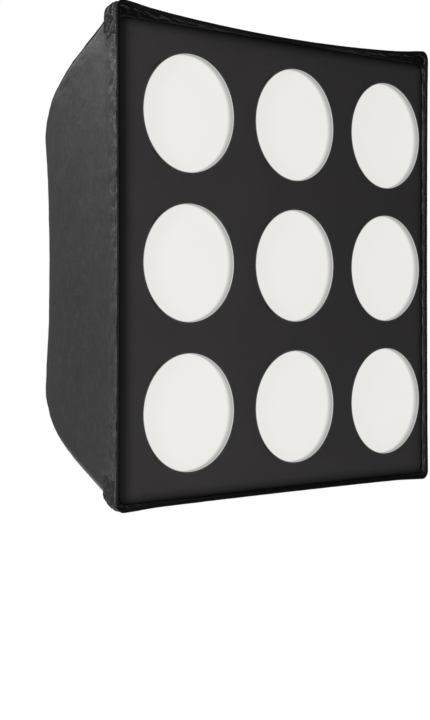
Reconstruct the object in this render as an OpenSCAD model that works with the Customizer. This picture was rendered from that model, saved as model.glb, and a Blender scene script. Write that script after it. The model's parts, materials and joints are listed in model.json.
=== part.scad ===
// Square softbox for a studio flash, with a lift-off front mask that has nine round windows.
// The light points along -Y, Z is up, and the origin is the middle of the rear mouth of the mount.
// s is the distance behind the front edge; r is the distance from the axis along a corner diagonal.

/* [Box] */
// Width across the front edge
box_w = 774; // [640:2:820]
// Height across the front edge
box_h = 816; // [680:2:860]
// Distance from the front edge back to the mouth of the mount
box_depth = 570; // [560:1:600]
// Radius of the box's four long corners
corner_r = 15; // [8:1:24]
// Thickness of the outer fabric with its coating
shell_t = 2.0; // [1.6:0.1:2.6]
// Thickness of the silver lining
lining_t = 1.0; // [1:0.1:1.6]
// How far the top, right, bottom and left front edges dip in the middle
front_dip = [16, 2, 1.5, 2];
// How far the middle of each side is drawn in at half depth
side_dip = 12; // [4:1:16]

/* [Ribs] */
// Radius of a spring steel rib rod
rod_r = 3.5; // [3:0.1:3.8]
// Distance of the rods' centre lines inside the box's corner line
rod_inset = 15; // [13:0.5:16]
// Length of rod held in a socket
rod_grip = 26; // [20:1:28]
// Distance behind the front edge where the rods' tips end
rod_tip_s = 48; // [44:1:60]

/* [Mask and diffusers] */
// Radius of a round window in the mask
hole_r = 97.4; // [70:0.2:104]
// Distance between the windows' centres, both ways
hole_pitch = 248; // [216:0.5:250]
// How far the windows' pattern sits to the right of the axis
pattern_x = 21; // [-10:1:22]
// How far the windows' pattern sits above the axis
pattern_z = -8; // [-10:1:6]
// Distance of the mask's face behind the front edge
mask_s = 8; // [8:0.5:12]
// Distance of the front diffuser's face behind the front edge
diffuser_s = 22; // [21:0.5:25]
// Distance of the inner baffle's face behind the front edge
baffle_s = 262; // [200:2:320]

/* [Mount] */
// Radius of the clear opening for the light's flash tube
light_bore_r = 41; // [38:0.5:42]
// Radius of the insert's journal that the speed ring turns on
journal_r = 54; // [52:0.5:54]
// Radius of the speed ring's plate
plate_r = 80; // [78:1:81]
// Radius of a lock knob
knob_r = 14; // [11:0.5:15]
// Travel of a clamp pad for one turn of its knob
pad_travel = 1; // [0.8:0.1:1.2]

/* [Hidden] */
$fn = 64;

CORNERS = ["top_left", "top_right", "bottom_right", "bottom_left"];
SIDES = ["top", "right", "bottom", "left"];

// The corner line's plane: shares of the diagonal along X and Z, and the diagonal's half length
binding_out = 1.2;
half_w = box_w / 2 - binding_out;
half_h = box_h / 2 - binding_out;
diagonal = norm([half_w, half_h]);
share_x = half_w / diagonal;
share_z = half_h / diagonal;
corner_angle = atan2(half_h, half_w);
CORNER_ANGLES = [180 - corner_angle, corner_angle, -corner_angle, 180 + corner_angle];

// The corner line is one cubic curve in (r, s): nearly straight in front, strongly bent at the rear
rear_r = 126;
rear_s = 518;
rear_lean = 69;
front_reach = 264;
front_slope = 0.465;
rear_reach = 300;
RIB = [
    [diagonal, 0],
    [diagonal - front_reach * front_slope, front_reach],
    [rear_r + rear_reach * sin(rear_lean), rear_s - rear_reach * cos(rear_lean)],
    [rear_r, rear_s]
];

// Layers of the front edge, as distances in from the outer surface
gap = 0.2;
lip_ridge = 3.8;
binding_in = 5;
binding_d = 5;
lip_out = 2.1;
lip_t = 1.4;
lip_end = 40;
strip_out = lip_out + lip_t + 0.4;
strip_t = 1.0;
panel_inset = strip_out + strip_t + 0.8;
hem_t = 1.5;
mask_t = 2.4;
facing_half = 102;
mask_hem_end = 17;
diffuser_t = 1.2;
diffuser_hem_end = 30;
window_binding_t = 1.4;
baffle_inset = 34;
baffle_t = 1.2;

// The mount, as places along Y
lug_y = -5;
flange_y = -10;
washer_y = -16;
hub_y = -18;
plate_y = -50;
plate_front = -58;
retainer_front = -63;
clamp_y = -26;
hub_r = 66;
flange_r = 64;
lug_r = 48.4;
collar_r = 44;
running_gap = 0.05;
end_gap = 0.2;
groove_r = 51;
groove_w = 12.8;
pad_w = 12;
pad_tip = 51.5;
pad_back = 57;
pocket_back = 61;
boss_r = 7;
boss_end = 78;
screw_r = 3;
knob_h = 15;
foot_front = -66;
foot_in = 65;
foot_out = 100;
foot_w = 22;
socket_r = 7;
rod_bore = rod_r + 0.2;
collar_hole_r = 70;
collar_hole_y = -35;

// ---- curves ----

function y_of(s) = s - box_depth;

function rib(t) =
    pow(1 - t, 3) * RIB[0] + 3 * pow(1 - t, 2) * t * RIB[1] + 3 * (1 - t) * t * t * RIB[2] + pow(t, 3) * RIB[3];

function rib_way(t) =
    let (d = pow(1 - t, 2) * (RIB[1] - RIB[0]) + 2 * (1 - t) * t * (RIB[2] - RIB[1]) + t * t * (RIB[3] - RIB[2]))
    d / norm(d);

// A point of the corner line, moved in by a depth at right angles to it
function layer(t, depth) =
    let (way = rib_way(t))
    rib(t) + depth * [-way[1], way[0]];

// The curve's parameter where a layer lies at a distance behind the front edge, by halving
function t_at(s, depth = 0, low = 0, high = 1, steps = 24) =
    let (middle = (low + high) / 2)
    steps == 0 ? middle :
    layer(middle, depth)[1] > s ?
        t_at(s, depth, low, middle, steps - 1) :
        t_at(s, depth, middle, high, steps - 1);

function dip(side, s) =
    let (q = min(1, max(0, s / rear_s)))
    front_dip[side] * (1 - q) + 4 * side_dip * q * (1 - q);

// Turns a point given along and out from a side into X and Z
function turned(side, p) =
    side == 0 ? p : side == 1 ? [p[1], -p[0]] : side == 2 ? [-p[0], -p[1]] : [-p[1], p[0]];

arc_steps = 2;
side_steps = 8;

// One side of a rounded rectangle, from the middle of one corner to the middle of the next
function side_line(side, hw, hh, radius, bow) =
    let (
        reach = side % 2 == 0 ? hw : hh,
        out = side % 2 == 0 ? hh : hw,
        flat = reach - radius
    )
    [for (p = concat(
        [for (i = [0 : arc_steps])
            let (a = 135 - 45 * i / arc_steps) [-flat + radius * cos(a), out - radius + radius * sin(a)]],
        [for (i = [1 : side_steps - 1])
            let (u = 2 * i / side_steps - 1) [flat * u, out - bow * (1 - u * u)]],
        [for (i = [0 : arc_steps])
            let (a = 90 - 45 * i / arc_steps) [flat + radius * cos(a), out - radius + radius * sin(a)]]
    )) turned(side, p)];

// The whole outline at a distance behind the front edge, moved in by an inset
function outline(s, inset) =
    let (r = rib(t_at(s))[0])
    [for (side = [0 : 3])
        for (i = [0 : 2 * arc_steps + side_steps])
            side_line(side, r * share_x - inset, r * share_z - inset, max(2, corner_r - inset), dip(side, s))[i]];

// The outline of the mask and diffusers: straight sides that just clear the dipped edges
function straight_outline(s, inset) =
    let (
        r = rib(t_at(s))[0],
        hw = r * share_x - inset - dip(1, s),
        low = r * share_z - inset - dip(2, s),
        high = r * share_z - inset - dip(0, s),
        hh = (high + low) / 2
    )
    [for (side = [0 : 3])
        for (p = side_line(side, hw, hh, max(2, corner_r - inset), 0))
            p + [0, (high - low) / 2]];

function raised(points, s) = [for (p = points) [p[0], y_of(s), p[1]]];

// ---- skins ----

function grid_faces(rows, columns, start = 0, flip = false, wrap = false) =
    [for (i = [0 : rows - 2], j = [0 : columns - (wrap ? 1 : 2)])
        let (
            a = start + i * columns + j,
            b = start + i * columns + (j + 1) % columns,
            c = a + columns,
            d = b + columns
        )
        each flip ? [[a, b, c], [b, d, c]] : [[a, c, b], [b, c, d]]];

// A thick open skin between two grids of points
module skin(outer, inner) {
    rows = len(outer);
    columns = len(outer[0]);
    count = rows * columns;
    last = count - columns;
    polyhedron(
        points = concat([for (row = outer) each row], [for (row = inner) each row]),
        faces = concat(
            grid_faces(rows, columns),
            grid_faces(rows, columns, count, flip = true),
            [for (j = [0 : columns - 2])
                each [[j, j + 1, count + j + 1], [j, count + j + 1, count + j]]],
            [for (j = [last : last + columns - 2])
                each [[j, count + j + 1, j + 1], [j, count + j, count + j + 1]]],
            [for (i = [0 : columns : last - 1])
                each [[i + columns, i, count + i], [i + columns, count + i, count + i + columns]]],
            [for (i = [columns - 1 : columns : last - 1])
                each [[i + columns, count + i, i], [i + columns, count + i + columns, count + i]]]
        )
    );
}

// A band round the box's inside, from a list of [s, inset] corners that follow the dipped edges.
// A third number of 1 makes that corner follow the straight outline.
module edge_band(corners) {
    loops = [for (c = corners)
        raised(c[2] == 1 ? straight_outline(c[0], c[1]) : outline(c[0], c[1]), c[0])];
    rows = len(loops);
    columns = len(loops[0]);
    polyhedron(
        points = [for (l = loops) each l],
        faces = concat(
            grid_faces(rows, columns, wrap = true),
            [for (j = [0 : columns - 1])
                let (a = (rows - 1) * columns + j, b = (rows - 1) * columns + (j + 1) % columns)
                each [[a, j, b], [b, j, (j + 1) % columns]]]
        )
    );
}

// A flat plate that fills the box's outline
module plate(s, thickness, inset) {
    translate([0, y_of(s), 0])
        rotate([90, 0, 0])
            translate([0, 0, -thickness])
                linear_extrude(thickness)
                    polygon(straight_outline(s, inset));
}

// ---- placing ----

// Local X points out along the corner's diagonal
module in_corner(corner) {
    rotate([0, -CORNER_ANGLES[corner], 0]) children();
}

// Local Z points forward along a rib rod, at its centre line
module along_rod(t) {
    p = layer(t, rod_inset);
    way = rib_way(t);
    translate([p[0], y_of(p[1]), 0])
        rotate([0, 90, atan2(-way[1], -way[0])])
            children();
}

// Local Z points out from the axis, along +X for the right side and -X for the left
module radial(sign) {
    translate([0, clamp_y, 0])
        rotate([0, sign * 90, 0])
            children();
}

module ring(outer, inner, low, high) {
    rotate([90, 0, 0])
        translate([0, 0, -high])
            linear_extrude(high - low)
                difference() {
                    circle(outer);
                    circle(inner);
                }
}

// ---- mount ----

module bayonet_insert() {
    color("#3a3b3d") difference() {
        rotate([-90, 0, 0]) union() {
            rotate_extrude() polygon([
                [light_bore_r, plate_front], [journal_r, plate_front],
                [journal_r, clamp_y - groove_w / 2], [groove_r, clamp_y - groove_w / 2],
                [groove_r, clamp_y + groove_w / 2], [journal_r, clamp_y + groove_w / 2],
                [journal_r, washer_y], [flange_r, washer_y], [flange_r, flange_y],
                [collar_r, flange_y], [collar_r, 0], [light_bore_r, 0]
            ]);
            for (i = [0 : 2])
                rotate(120 * i)
                    rotate_extrude(angle = 52)
                        translate([light_bore_r + 1, lug_y])
                            square([lug_r - light_bore_r - 1, -lug_y]);
        }
        retaining_holes(1.6);
    }
}

retaining_count = 6;
retaining_pitch_r = 47.5;

module retaining_holes(radius) {
    for (i = [0 : retaining_count - 1])
        rotate([0, 360 / retaining_count * i, 0])
            translate([retaining_pitch_r, plate_front + 9, 0])
                rotate([90, 0, 0])
                    cylinder(r = radius, h = 20, $fn = 24);
}

module retaining_ring() {
    color("#6d7074") difference() {
        ring(62, light_bore_r + 0.5, retainer_front, plate_front);
        retaining_holes(1.6);
    }
}

module retaining_screws() {
    color("#b9bcc0")
        for (i = [0 : retaining_count - 1])
            rotate([0, 360 / retaining_count * i, 0])
                translate([retaining_pitch_r, 0, 0])
                    rotate([90, 0, 0]) {
                        translate([0, 0, -plate_front - 8])
                            cylinder(r = 1.6, h = 8 + plate_front - retainer_front, $fn = 24);
                        translate([0, 0, -retainer_front])
                            difference() {
                                cylinder(r = 3, h = 2, $fn = 24);
                                translate([0, 0, 0.8])
                                    cylinder(r = 1.5, h = 2, $fn = 6);
                            }
                    }
}

module slip_washer() {
    color("#e8e6df") ring(flange_r - 1, journal_r + 0.3, hub_y + gap, washer_y);
}

module speed_ring() {
    color("#2b2c2e") difference() {
        union() {
            ring(hub_r, journal_r + running_gap, plate_y - 1, hub_y);
            ring(plate_r, journal_r + running_gap, plate_front + end_gap, plate_y);
            for (sign = [-1, 1])
                radial(sign) translate([0, 0, journal_r + 4])
                    cylinder(r = boss_r, h = boss_end - journal_r - 4);
        }
        for (sign = [-1, 1])
            radial(sign) {
                cylinder(r = screw_r + running_gap, h = boss_end + 1);
                translate([0, 0, pocket_back / 2])
                    cube([pad_w + 0.4, pad_w + 0.4, pocket_back], center = true);
            }
        for (corner = [0 : 3])
            in_corner(corner) socket_screw_holes(1.9);
    }
}

// ---- ribs ----

socket_screw_r = 72;
socket_screw_z = 6;

module socket_screw_holes(radius) {
    for (z = [-socket_screw_z, socket_screw_z])
        translate([socket_screw_r, plate_y - 1, z])
            rotate([90, 0, 0])
                cylinder(r = radius, h = 30, $fn = 24);
}

module rod_socket(corner) {
    color("#5b5e62") in_corner(corner) difference() {
        union() {
            translate([foot_in, foot_front, -foot_w / 2])
                cube([foot_out - foot_in, plate_front + end_gap - foot_front, foot_w]);
            along_rod(1) translate([0, 0, -rod_grip - 4])
                cylinder(r = socket_r, h = rod_grip + 5);
        }
        along_rod(1) translate([0, 0, -rod_grip])
            cylinder(r = rod_bore, h = rod_grip + 10);
        socket_screw_holes(1.9);
    }
}

module socket_screws() {
    color("#b9bcc0")
        for (corner = [0 : 3])
            in_corner(corner)
                for (z = [-socket_screw_z, socket_screw_z])
                    translate([socket_screw_r, 0, z])
                        rotate([90, 0, 0]) {
                            translate([0, 0, -plate_y + 1])
                                cylinder(r = 1.9, h = plate_y - 1 - foot_front, $fn = 24);
                            translate([0, 0, -foot_front])
                                difference() {
                                    cylinder(r = 3.5, h = 2.6, $fn = 24);
                                    translate([0, 0, 1])
                                        cylinder(r = 1.8, h = 2, $fn = 6);
                                }
                        }
}

rod_sides = 10;
rod_steps = 26;

// Points of one rod ring: centre, the way in, and the way across
function rod_loop(centre, in_way) =
    [for (j = [0 : rod_sides - 1])
        let (a = 360 * j / rod_sides)
        [
            centre[0] + rod_r * cos(a) * in_way[0],
            y_of(centre[1]) + rod_r * cos(a) * in_way[1],
            rod_r * sin(a)
        ]];

module rod(corner) {
    first = t_at(rod_tip_s, rod_inset);
    way = rib_way(1);
    loops = concat(
        [for (i = [0 : rod_steps])
            let (t = first + (1 - first) * i / rod_steps, w = rib_way(t))
            rod_loop(layer(t, rod_inset), [-w[1], w[0]])],
        [rod_loop(layer(1, rod_inset) + (rod_grip - 0.5) * way, [-way[1], way[0]])]
    );
    rows = len(loops);
    color("#8d9094") in_corner(corner)
        polyhedron(
            points = [for (l = loops) each l],
            faces = concat(
                grid_faces(rows, rod_sides, wrap = true),
                [[for (j = [0 : rod_sides - 1]) j]],
                [[for (j = [rod_sides - 1 : -1 : 0]) (rows - 1) * rod_sides + j]]
            )
        );
}

tip_l = 20;
tip_r = 4.6;
pocket_l = 28;
pocket_r = 5.8;

module rod_tip(corner) {
    color("#141415") in_corner(corner)
        along_rod(t_at(rod_tip_s, rod_inset))
            difference() {
                union() {
                    translate([0, 0, 4 - tip_l]) cylinder(r = tip_r, h = tip_l - tip_r);
                    translate([0, 0, 4 - tip_r]) sphere(r = tip_r);
                }
                translate([0, 0, -tip_l]) cylinder(r = rod_r + 0.25, h = tip_l + 0.2);
            }
}

module rod_pocket(corner) {
    color("#1d1d1f") in_corner(corner)
        along_rod(t_at(rod_tip_s, rod_inset))
            difference() {
                translate([0, 0, 6 - pocket_l]) cylinder(r = pocket_r, h = pocket_l);
                translate([0, 0, 4.4 - pocket_l]) cylinder(r = tip_r + 0.3, h = pocket_l);
            }
}

// ---- fabric box ----

panel_rows = 14;
panel_front = 6.4;
lining_front = 47;

function sheet_grid(side, depth, front, rows) =
    let (first = t_at(front))
    [for (i = [0 : rows])
        let (
            t = first + (1 - first) * i / rows,
            p = layer(t, depth),
            bow = dip(side, rib(t)[1])
        )
        [for (q = side_line(side, p[0] * share_x, p[0] * share_z, max(3, corner_r - depth), bow))
            [q[0], y_of(p[1]), q[1]]]];

module panel(side) {
    color("#3d3c3d")
        skin(sheet_grid(side, 0, panel_front, panel_rows), sheet_grid(side, shell_t, panel_front, panel_rows));
}

module lining(side) {
    depth = shell_t + 0.8;
    color("#c9ccd0")
        skin(
            sheet_grid(side, depth, lining_front, panel_rows),
            sheet_grid(side, depth + lining_t, lining_front, panel_rows)
        );
}

patch_l = 46;
patch_t = 3;
patch_front = 7;
patch_end = 62;
patch_rows = 4;

// The outline round one corner, at a distance out from the fabric
function corner_line(side, s, out) =
    let (
        r = rib(t_at(s))[0],
        hw = r * share_x + out,
        hh = r * share_z + out,
        reach = side % 2 == 0 ? hw : hh,
        top = side % 2 == 0 ? hh : hw,
        radius = corner_r + out
    )
    [for (p = concat(
        [[-reach, top - patch_l]],
        [for (i = [0 : 4])
            let (a = 180 - 90 * i / 4)
            [-reach + radius + radius * cos(a), top - radius + radius * sin(a)]],
        [[-reach + patch_l, top]]
    )) turned(side, p)];

module corner_patch(corner) {
    stations = [for (i = [0 : patch_rows]) patch_front + (patch_end - patch_front) * i / patch_rows];
    color("#161617")
        skin(
            [for (s = stations) raised(corner_line(corner, s, gap + patch_t), s)],
            [for (s = stations) raised(corner_line(corner, s, gap), s)]
        );
}

module front_lip() {
    color("#131314")
        edge_band([
            [binding_d + 0.1, lip_out], [lip_end / 2, lip_out], [lip_end, lip_out],
            [lip_end, lip_out + lip_t], [lip_end / 2, lip_out + lip_t],
            [mask_s + mask_t, lip_ridge, 1], [mask_s - 2, lip_ridge, 1], [binding_d + 0.1, lip_out + lip_t]
        ]);
}

module edge_binding() {
    color("#0f0f10")
        edge_band([
            [1.5, -binding_out], [binding_d, -binding_out], [binding_d, binding_in],
            [1.5, binding_in], [0, 3.2], [0, 0.6]
        ]);
}

strip_front = 21;

module loop_strip() {
    color("#1a1a1b")
        edge_band([
            [strip_front, strip_out], [diffuser_hem_end, strip_out],
            [diffuser_hem_end, strip_out + strip_t], [strip_front, strip_out + strip_t]
        ]);
}

// The rear edge's outline at a depth in from the outer surface, and the round hole behind it
function rear_line(depth) =
    let (p = layer(1, depth))
    [for (side = [0 : 3])
        each [for (q = side_line(side, p[0] * share_x, p[0] * share_z, max(3, corner_r - depth), dip(side, rear_s)))
            [q[0], y_of(p[1]) + 0.3, q[1]]]];

function round_line(points, radius, y) =
    [for (p = points) let (a = atan2(p[2], p[0])) [radius * cos(a), y, radius * sin(a)]];

module rear_collar() {
    outside = rear_line(0);
    inside = rear_line(shell_t);
    loops = [
        outside,
        round_line(outside, collar_hole_r, collar_hole_y),
        round_line(outside, collar_hole_r, collar_hole_y - shell_t),
        inside
    ];
    columns = len(outside);
    color("#2e2d2f")
        polyhedron(
            points = [for (l = loops) each l],
            faces = concat(
                grid_faces(4, columns, wrap = true),
                [for (j = [0 : columns - 1])
                    let (a = 3 * columns + j, b = 3 * columns + (j + 1) % columns)
                    each [[a, j, b], [b, j, (j + 1) % columns]]]
            )
        );
}

module collar_elastic() {
    color("#19191a")
        translate([0, collar_hole_y - shell_t / 2, 0])
            rotate([90, 0, 0])
                rotate_extrude()
                    translate([hub_r + 2, 0])
                        square([collar_hole_r - hub_r - 2.3, shell_t + 2], center = true);
}

// ---- diffusers and mask ----

module inner_baffle() {
    color("#f2f1ec") plate(baffle_s, baffle_t, baffle_inset);
}

clip_w = 14;

module baffle_clip(corner) {
    t = t_at(baffle_s + baffle_t + 0.8, rod_inset);
    p = layer(t, rod_inset);
    reach = rib(t_at(baffle_s))[0] - baffle_inset / share_x;
    color("#222223") in_corner(corner) difference() {
        union() {
            translate([reach - 16, y_of(baffle_s) + baffle_t, -clip_w / 2])
                cube([p[0] - reach + 16, 1.6, clip_w]);
            along_rod(t) cylinder(r = rod_r + 2.2, h = 12, center = true);
        }
        along_rod(t) cylinder(r = rod_r + 0.3, h = 40, center = true);
    }
}

module front_diffuser() {
    color("#f4f3ee") plate(diffuser_s, diffuser_t, panel_inset);
}

module diffuser_hem() {
    color("#ecebe6")
        edge_band([
            [diffuser_s + diffuser_t, panel_inset, 1], [diffuser_hem_end, panel_inset, 1],
            [diffuser_hem_end, panel_inset + hem_t, 1], [diffuser_s + diffuser_t, panel_inset + hem_t, 1]
        ]);
}

module windows(radius, front, rear) {
    for (i = [-1 : 1], j = [-1 : 1])
        translate([pattern_x + hole_pitch * i, y_of(rear), pattern_z + hole_pitch * j])
            rotate([90, 0, 0])
                cylinder(r = radius, h = rear - front, $fn = 96);
}

module facing_squares(half, front, rear) {
    for (i = [-1 : 1], j = [-1 : 1])
        translate([
            pattern_x + hole_pitch * i - half, y_of(front), pattern_z + hole_pitch * j - half
        ])
            cube([2 * half, rear - front, 2 * half]);
}

module mask() {
    color("#262526") difference() {
        plate(mask_s, mask_t, panel_inset);
        facing_squares(facing_half + 0.1, mask_s - 1, mask_s + mask_t + 1);
    }
}

module window_facings() {
    color("#262526") difference() {
        facing_squares(facing_half, mask_s, mask_s + mask_t);
        windows(hole_r, mask_s - 1, mask_s + mask_t + 1);
    }
}

module mask_hem() {
    color("#1c1c1d")
        edge_band([
            [mask_s + mask_t, panel_inset, 1], [mask_hem_end, panel_inset, 1],
            [mask_hem_end, panel_inset + hem_t, 1], [mask_s + mask_t, panel_inset + hem_t, 1]
        ]);
}

module window_bindings() {
    color("#e4e3de") difference() {
        windows(hole_r, mask_s, diffuser_s - 0.5);
        windows(hole_r - window_binding_t, mask_s - 1, diffuser_s);
    }
}

// ---- lock ----

knob_lobes = 6;

module lock_knob(sign) {
    color("#171718") radial(sign) translate([0, 0, boss_end + 0.3])
        difference() {
            cylinder(r = knob_r, h = knob_h);
            for (i = [0 : knob_lobes - 1])
                rotate(360 / knob_lobes * i)
                    translate([knob_r + 2.5, 0, -1])
                        cylinder(r = 5, h = knob_h + 2);
            translate([0, 0, -1]) cylinder(r = screw_r, h = knob_h - 2);
        }
}

module lock_screw(sign) {
    color("#b9bcc0") radial(sign) {
        translate([0, 0, pad_tip + 1.5])
            cylinder(r = screw_r, h = boss_end + 0.3 + knob_h - 3 - pad_tip - 1.5);
        translate([0, 0, pad_back + pad_travel + 0.4])
            cylinder(r = screw_r + 2, h = 1.4);
    }
}

module clamp_pad(sign) {
    color("#c8a552") radial(sign) difference() {
        translate([-pad_w / 2, -pad_w / 2, pad_tip])
            cube([pad_w, pad_w, pad_back - pad_tip]);
        translate([0, 0, pad_tip + 0.3])
            cylinder(r = screw_r + running_gap, h = 10);
    }
}

bayonet_insert();
retaining_ring();
retaining_screws();
slip_washer();
speed_ring();
socket_screws();
for (i = [0 : 3]) {
    rod_socket(i);
    rod(i);
    rod_tip(i);
    rod_pocket(i);
    corner_patch(i);
    baffle_clip(i);
    panel(i);
    lining(i);
}
front_lip();
edge_binding();
loop_strip();
rear_collar();
collar_elastic();
inner_baffle();
front_diffuser();
diffuser_hem();
mask();
window_facings();
mask_hem();
window_bindings();
lock_knob(-1);  // lock_knob_left
lock_knob(1);  // lock_knob_right
lock_screw(-1);  // lock_screw_left
lock_screw(1);  // lock_screw_right
clamp_pad(-1);  // clamp_pad_left
clamp_pad(1);  // clamp_pad_right
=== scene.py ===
"""Cloth, trim, finishes and studio for a square softbox with a nine-window front mask."""

import json
import math

import bmesh
import bpy
from mathutils import Matrix, Vector, noise


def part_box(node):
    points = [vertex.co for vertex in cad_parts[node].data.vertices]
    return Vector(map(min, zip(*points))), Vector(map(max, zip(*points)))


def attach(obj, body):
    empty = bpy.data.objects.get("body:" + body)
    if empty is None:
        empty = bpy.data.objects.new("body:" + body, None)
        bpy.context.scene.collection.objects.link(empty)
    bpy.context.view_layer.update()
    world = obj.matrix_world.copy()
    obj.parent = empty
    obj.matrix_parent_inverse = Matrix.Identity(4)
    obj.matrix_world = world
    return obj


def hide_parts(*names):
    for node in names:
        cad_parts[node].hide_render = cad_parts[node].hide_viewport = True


bl_info = {
    "name": "Nine-window softbox",
    "version": (1, 0, 0),
    "blender": (4, 5, 0),
    "location": "View3D > Sidebar > Softbox",
    "description": "Cloth, trim and finishes for a square softbox with a front mask",
    "category": "Object",
}

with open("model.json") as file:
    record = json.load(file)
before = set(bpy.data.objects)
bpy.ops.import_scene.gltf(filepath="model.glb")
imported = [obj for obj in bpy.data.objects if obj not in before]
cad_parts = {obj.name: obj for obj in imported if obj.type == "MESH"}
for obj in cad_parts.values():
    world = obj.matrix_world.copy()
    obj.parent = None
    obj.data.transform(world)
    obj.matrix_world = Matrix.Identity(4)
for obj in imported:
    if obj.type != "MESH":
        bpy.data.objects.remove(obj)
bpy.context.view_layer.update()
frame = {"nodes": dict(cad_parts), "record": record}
CAD_NODES = frame["nodes"]
FRONT_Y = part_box("edge_binding")[0].y

SIDES = ("top", "right", "bottom", "left")
CORNERS = {"top_left": (-1, 1), "top_right": (1, 1), "bottom_right": (1, -1), "bottom_left": (-1, -1)}
MM = 0.001
FOLD_TOLERANCE = 0.00002


# ---------------------------------------------------------------- sizes


class SoftboxSizes(bpy.types.PropertyGroup):
    """Sizes of the cloth, as cut and sewn"""

    width: bpy.props.FloatProperty(
        name="Width", description="Width across the front edge", default=0.774, unit="LENGTH"
    )
    height: bpy.props.FloatProperty(
        name="Height", description="Height across the front edge", default=0.816, unit="LENGTH"
    )
    corner_radius: bpy.props.FloatProperty(
        name="Corner radius", description="Radius of the four long corners", default=0.015, unit="LENGTH"
    )
    side_dip: bpy.props.FloatProperty(
        name="Side dip", description="How far a side is drawn in at half depth", default=0.012, unit="LENGTH"
    )
    front_dip: bpy.props.FloatVectorProperty(
        name="Front dip",
        description="How far the top, right, bottom and left edges dip in the middle",
        size=4,
        default=(0.016, 0.002, 0.0015, 0.002),
        unit="LENGTH",
    )
    corner_peak: bpy.props.FloatProperty(
        name="Corner peak", description="How far the rods push the corners out", default=0.0024, unit="LENGTH"
    )
    cloth: bpy.props.FloatProperty(
        name="Cloth", description="Thickness of the outer cloth", default=0.0009, unit="LENGTH"
    )
    crease: bpy.props.FloatProperty(
        name="Crease", description="Height of the creases in the side panels", default=0.0026, unit="LENGTH"
    )


class MaskSizes(bpy.types.PropertyGroup):
    """Sizes of the front mask and the two diffusers"""

    window_radius: bpy.props.FloatProperty(
        name="Window radius", description="Radius of a round window", default=0.0974, unit="LENGTH"
    )
    pitch: bpy.props.FloatProperty(
        name="Pitch", description="Distance between the windows' centres", default=0.248, unit="LENGTH"
    )
    centre: bpy.props.FloatVectorProperty(
        name="Centre",
        description="Where the middle window sits, to the right and up",
        size=2,
        default=(0.021, -0.008),
        unit="LENGTH",
    )
    mask_depth: bpy.props.FloatProperty(
        name="Mask depth", description="Mask's face behind the front edge", default=0.008, unit="LENGTH"
    )
    diffuser_depth: bpy.props.FloatProperty(
        name="Diffuser depth",
        description="Diffuser's face behind the front edge",
        default=0.022,
        unit="LENGTH",
    )
    baffle_depth: bpy.props.FloatProperty(
        name="Baffle depth", description="Baffle's face behind the front edge", default=0.262, unit="LENGTH"
    )
    inset: bpy.props.FloatProperty(
        name="Inset", description="Mask's edge in from the box's outer face", default=0.0036, unit="LENGTH"
    )
    bow: bpy.props.FloatProperty(
        name="Bow",
        description="How far mask and diffuser stand out in the middle",
        default=0.0080,
        unit="LENGTH",
    )


class ClothColours(bpy.types.PropertyGroup):
    """Base colours of the cloths"""

    shell: bpy.props.FloatVectorProperty(
        name="Shell", description="Outer nylon", subtype="COLOR", default=(0.0070, 0.0066, 0.0068)
    )
    mask: bpy.props.FloatVectorProperty(
        name="Mask", description="Mask's face", subtype="COLOR", default=(0.0172, 0.0159, 0.0163)
    )
    trim: bpy.props.FloatVectorProperty(
        name="Trim", description="Lip, binding and webbing", subtype="COLOR", default=(0.0030, 0.0030, 0.0032)
    )
    diffuser: bpy.props.FloatVectorProperty(
        name="Diffuser", description="White diffuser cloth", subtype="COLOR", default=(0.84, 0.832, 0.80)
    )
    silver: bpy.props.FloatVectorProperty(
        name="Silver", description="Reflective lining", subtype="COLOR", default=(0.66, 0.67, 0.69)
    )


# ---------------------------------------------------------------- the box's shape


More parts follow.
